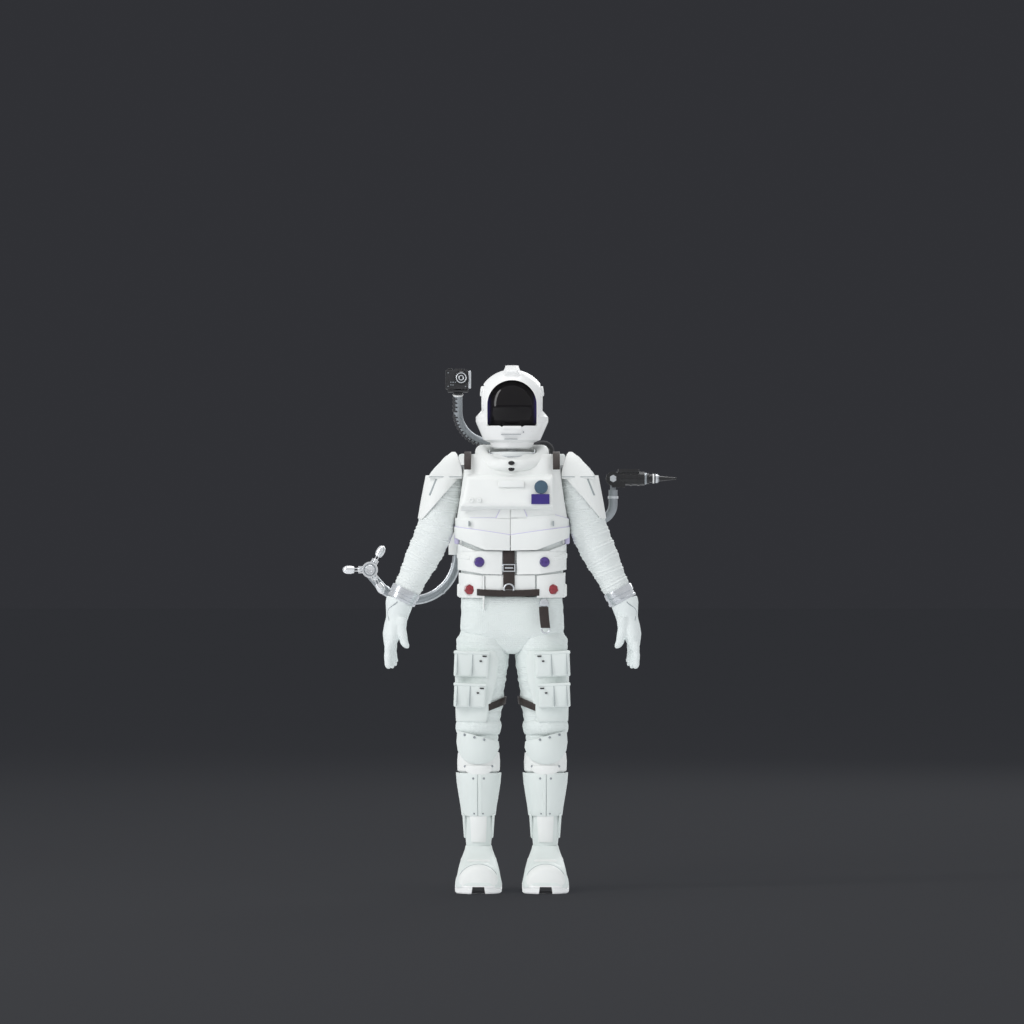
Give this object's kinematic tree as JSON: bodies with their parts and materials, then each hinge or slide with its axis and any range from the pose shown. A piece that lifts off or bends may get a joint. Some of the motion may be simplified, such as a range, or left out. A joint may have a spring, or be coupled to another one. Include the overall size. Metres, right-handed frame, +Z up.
{
  "type": "action figure",
  "caption": "Poseable white astronaut action figure with a lifting visor and a backpack that carries a camera, a driver tool and a claw on bent metal arms.",
  "frame": {"origin": "on the ground between the feet, at the middle of the overall box", "axes": "+Z up along the standing figure, +X to the figure's left hand, -Y is the front"},
  "size_m": [0.1203, 0.0512, 0.1887],
  "materials": {
    "pelvis": "soft white suit",
    "abdomen": "soft white suit",
    "hip_flaps": "satin white",
    "side_knobs": "glossy red",
    "centre_strap": "dark brown",
    "strap_buckles": "bright",
    "key_clip": "white",
    "waist_pin": "grey joint plastic",
    "torso_core": "soft white suit",
    "vest": "satin white",
    "collar": "satin white",
    "chest_module": "satin white",
    "shoulder_straps": "dark brown",
    "badges": "woven, plain purple",
    "pack_shell": "satin white",
    "pack_lid": "pale grey",
    "pack_screws": "bright",
    "comm_hose": "black",
    "neck_ring": "bright",
    "helmet": "glossy white",
    "ear_pods": "glossy pale grey",
    "face_shield": "matt black",
    "visor": "dark mirror gloss",
    "key_strap": "dark brown",
    "camera_boom": "dull silver",
    "camera": "black",
    "tool_arm": "dull silver",
    "tool_body": "black",
    "tool_bit": "black",
    "claw_arm": "dull silver",
    "claw_hub": "bright",
    "claw_finger_a": "bright",
    "claw_finger_b": "bright",
    "claw_finger_c": "bright",
    "shoulder_hub_r": "grey joint plastic",
    "upper_arm_r": "soft white suit",
    "shoulder_cap_r": "satin white",
    "arm_plate_r": "satin white",
    "forearm_r": "soft white suit",
    "wrist_cuff_r": "bright",
    "glove_r": "matt white",
    "hip_hub_r": "grey joint plastic",
    "thigh_r": "soft white suit",
    "pouches_r": "satin white",
    "shin_r": "soft white suit",
    "shin_guard_r": "satin white",
    "foot_r": "satin white",
    "shoulder_hub_l": "grey joint plastic",
    "upper_arm_l": "soft white suit",
    "shoulder_cap_l": "satin white",
    "arm_plate_l": "satin white",
    "forearm_l": "soft white suit",
    "wrist_cuff_l": "bright",
    "glove_l": "matt white",
    "hip_hub_l": "grey joint plastic",
    "thigh_l": "soft white suit",
    "pouches_l": "satin white",
    "shin_l": "soft white suit",
    "shin_guard_l": "satin white",
    "foot_l": "satin white"
  },
  "bodies": {
    "pelvis": {"pelvis": "pelvis", "abdomen": "abdomen", "hip_flaps": "hip_flaps", "side_knobs": "side_knobs", "centre_strap": "centre_strap", "strap_buckles": "strap_buckles", "key_clip": "key_clip", "waist_pin": "waist_pin"},
    "torso": {"torso_core": "torso_core", "vest": "vest", "collar": "collar", "chest_module": "chest_module", "shoulder_straps": "shoulder_straps", "badges": "badges", "pack_shell": "pack_shell", "pack_lid": "pack_lid", "pack_screws": "pack_screws", "comm_hose": "comm_hose"},
    "neck": {"neck_ring": "neck_ring"},
    "head": {"helmet": "helmet", "ear_pods": "ear_pods", "face_shield": "face_shield"},
    "visor": {"visor": "visor"},
    "key": {"key_strap": "key_strap"},
    "camera_boom": {"camera_boom": "camera_boom"},
    "camera": {"camera": "camera"},
    "tool_arm": {"tool_arm": "tool_arm"},
    "tool_body": {"tool_body": "tool_body"},
    "tool_bit": {"tool_bit": "tool_bit"},
    "claw_arm": {"claw_arm": "claw_arm"},
    "claw_hub": {"claw_hub": "claw_hub"},
    "claw_finger_a": {"claw_finger_a": "claw_finger_a"},
    "claw_finger_b": {"claw_finger_b": "claw_finger_b"},
    "claw_finger_c": {"claw_finger_c": "claw_finger_c"},
    "shoulder_r": {"shoulder_hub_r": "shoulder_hub_r"},
    "upper_arm_r": {"upper_arm_r": "upper_arm_r", "shoulder_cap_r": "shoulder_cap_r", "arm_plate_r": "arm_plate_r"},
    "forearm_r": {"forearm_r": "forearm_r"},
    "hand_r": {"wrist_cuff_r": "wrist_cuff_r", "glove_r": "glove_r"},
    "hip_r": {"hip_hub_r": "hip_hub_r"},
    "thigh_r": {"thigh_r": "thigh_r", "pouches_r": "pouches_r"},
    "shin_r": {"shin_r": "shin_r", "shin_guard_r": "shin_guard_r"},
    "foot_r": {"foot_r": "foot_r"},
    "shoulder_l": {"shoulder_hub_l": "shoulder_hub_l"},
    "upper_arm_l": {"upper_arm_l": "upper_arm_l", "shoulder_cap_l": "shoulder_cap_l", "arm_plate_l": "arm_plate_l"},
    "forearm_l": {"forearm_l": "forearm_l"},
    "hand_l": {"wrist_cuff_l": "wrist_cuff_l", "glove_l": "glove_l"},
    "hip_l": {"hip_hub_l": "hip_hub_l"},
    "thigh_l": {"thigh_l": "thigh_l", "pouches_l": "pouches_l"},
    "shin_l": {"shin_l": "shin_l", "shin_guard_l": "shin_guard_l"},
    "foot_l": {"foot_l": "foot_l"}
  },
  "joints": [
    {"name": "waist_turn", "type": "hinge", "parent": "pelvis", "child": "torso", "pos_m": [0, -0.00275, 0.1272], "axis": [0, 0, 1], "range_deg": [-10, 10]},
    {"name": "head_turn", "type": "hinge", "parent": "torso", "child": "neck", "pos_m": [0, -0.00275, 0.155], "axis": [0, 0, 1], "range_deg": [-60, 60]},
    {"name": "head_nod", "type": "hinge", "parent": "neck", "child": "head", "pos_m": [0, -0.00275, 0.1632], "axis": [1, 0, 0], "range_deg": [-10, 10]},
    {"name": "visor_lift", "type": "hinge", "parent": "head", "child": "visor", "pos_m": [0, -0.00375, 0.1746], "axis": [-1, 0, 0], "range_deg": [0, 55]},
    {"name": "shoulder_swing_r", "type": "hinge", "parent": "torso", "child": "shoulder_r", "pos_m": [-0.023, -0.00275, 0.151], "axis": [-1, 0, 0], "range_deg": [-10, 95]},
    {"name": "shoulder_raise_r", "type": "hinge", "parent": "shoulder_r", "child": "upper_arm_r", "pos_m": [-0.023, -0.00275, 0.151], "axis": [0, 1, 0], "range_deg": [0, 60]},
    {"name": "elbow_r", "type": "hinge", "parent": "upper_arm_r", "child": "forearm_r", "pos_m": [-0.02727, -0.00275, 0.13003], "axis": [-0.9799, 0, 0.1994], "range_deg": [0, 90]},
    {"name": "wrist_turn_r", "type": "hinge", "parent": "forearm_r", "child": "hand_r", "pos_m": [-0.03875, -0.00275, 0.10648], "axis": [0.4384, 0, 0.8988], "range_deg": [-60, 60]},
    {"name": "hip_swing_r", "type": "hinge", "parent": "pelvis", "child": "hip_r", "pos_m": [-0.0104, -0.00275, 0.089], "axis": [-1, 0, 0], "range_deg": [-15, 40]},
    {"name": "hip_spread_r", "type": "hinge", "parent": "hip_r", "child": "thigh_r", "pos_m": [-0.0104, -0.00275, 0.089], "axis": [0, 1, 0], "range_deg": [0, 25]},
    {"name": "knee_r", "type": "hinge", "parent": "thigh_r", "child": "shin_r", "pos_m": [-0.01199, -0.00275, 0.051], "axis": [1, 0, 0], "range_deg": [0, 90]},
    {"name": "ankle_r", "type": "hinge", "parent": "shin_r", "child": "foot_r", "pos_m": [-0.01199, -0.00275, 0.0144], "axis": [1, 0, 0], "range_deg": [-15, 15]},
    {"name": "shoulder_swing_l", "type": "hinge", "parent": "torso", "child": "shoulder_l", "pos_m": [0.023, -0.00275, 0.151], "axis": [-1, 0, 0], "range_deg": [-10, 95]},
    {"name": "shoulder_raise_l", "type": "hinge", "parent": "shoulder_l", "child": "upper_arm_l", "pos_m": [0.023, -0.00275, 0.151], "axis": [0, -1, 0], "range_deg": [0, 60]},
    {"name": "elbow_l", "type": "hinge", "parent": "upper_arm_l", "child": "forearm_l", "pos_m": [0.02727, -0.00275, 0.13003], "axis": [-0.9799, 0, -0.1994], "range_deg": [0, 90]},
    {"name": "wrist_turn_l", "type": "hinge", "parent": "forearm_l", "child": "hand_l", "pos_m": [0.03875, -0.00275, 0.10648], "axis": [0.4384, 0, -0.8988], "range_deg": [-60, 60]},
    {"name": "hip_swing_l", "type": "hinge", "parent": "pelvis", "child": "hip_l", "pos_m": [0.0104, -0.00275, 0.089], "axis": [-1, 0, 0], "range_deg": [-15, 40]},
    {"name": "hip_spread_l", "type": "hinge", "parent": "hip_l", "child": "thigh_l", "pos_m": [0.0104, -0.00275, 0.089], "axis": [0, -1, 0], "range_deg": [0, 25]},
    {"name": "knee_l", "type": "hinge", "parent": "thigh_l", "child": "shin_l", "pos_m": [0.01199, -0.00275, 0.051], "axis": [1, 0, 0], "range_deg": [0, 90]},
    {"name": "ankle_l", "type": "hinge", "parent": "shin_l", "child": "foot_l", "pos_m": [0.01199, -0.00275, 0.0144], "axis": [1, 0, 0], "range_deg": [-15, 15]},
    {"name": "key_swing", "type": "hinge", "parent": "pelvis", "child": "key", "pos_m": [0.01145, -0.01555, 0.1032], "axis": [-1, 0, 0], "range_deg": [0, 80]},
    {"name": "boom_turn", "type": "hinge", "parent": "torso", "child": "camera_boom", "pos_m": [-0.0045, 0.01525, 0.1565], "axis": [0, 0, 1], "range_deg": [-60, 10]},
    {"name": "camera_pan", "type": "hinge", "parent": "camera_boom", "child": "camera", "pos_m": [-0.0195, 0.00799, 0.17885], "axis": [0, -0.309, 0.9511], "range_deg": [-90, 90]},
    {"name": "tool_swing", "type": "hinge", "parent": "torso", "child": "tool_arm", "pos_m": [0.02, 0.01425, 0.133], "axis": [-1, 0, 0], "range_deg": [-20, 60]},
    {"name": "tool_tilt", "type": "hinge", "parent": "tool_arm", "child": "tool_body", "pos_m": [0.0366, 0.01425, 0.1482], "axis": [0, -1, 0], "range_deg": [-15, 60]},
    {"name": "tool_spin", "type": "hinge", "parent": "tool_body", "child": "tool_bit", "pos_m": [0.0496, 0.01425, 0.1482], "axis": [1, 0, 0], "continuous": true},
    {"name": "claw_swing", "type": "hinge", "parent": "torso", "child": "claw_arm", "pos_m": [-0.02, 0.01565, 0.12], "axis": [0, 0, -1], "range_deg": [0, 60]},
    {"name": "claw_spin", "type": "hinge", "parent": "claw_arm", "child": "claw_hub", "pos_m": [-0.0514, 0.01255, 0.1152], "axis": [0, 1, 0], "continuous": true},
    {"name": "claw_grip_a", "type": "hinge", "parent": "claw_hub", "child": "claw_finger_a", "pos_m": [-0.04965, 0.01255, 0.11823], "axis": [0.866, 0, -0.5], "range_deg": [0, 60]},
    {"name": "claw_grip_b", "type": "hinge", "parent": "claw_hub", "child": "claw_finger_b", "pos_m": [-0.0549, 0.01255, 0.1152], "axis": [0, 0, 1], "range_deg": [0, 60]},
    {"name": "claw_grip_c", "type": "hinge", "parent": "claw_hub", "child": "claw_finger_c", "pos_m": [-0.04965, 0.01255, 0.11217], "axis": [-0.866, 0, -0.5], "range_deg": [0, 60]}
  ],
  "couplings": [
    {"joint": "claw_grip_b", "follows": "claw_grip_a", "ratio": 1},
    {"joint": "claw_grip_c", "follows": "claw_grip_a", "ratio": 1}
  ]
}
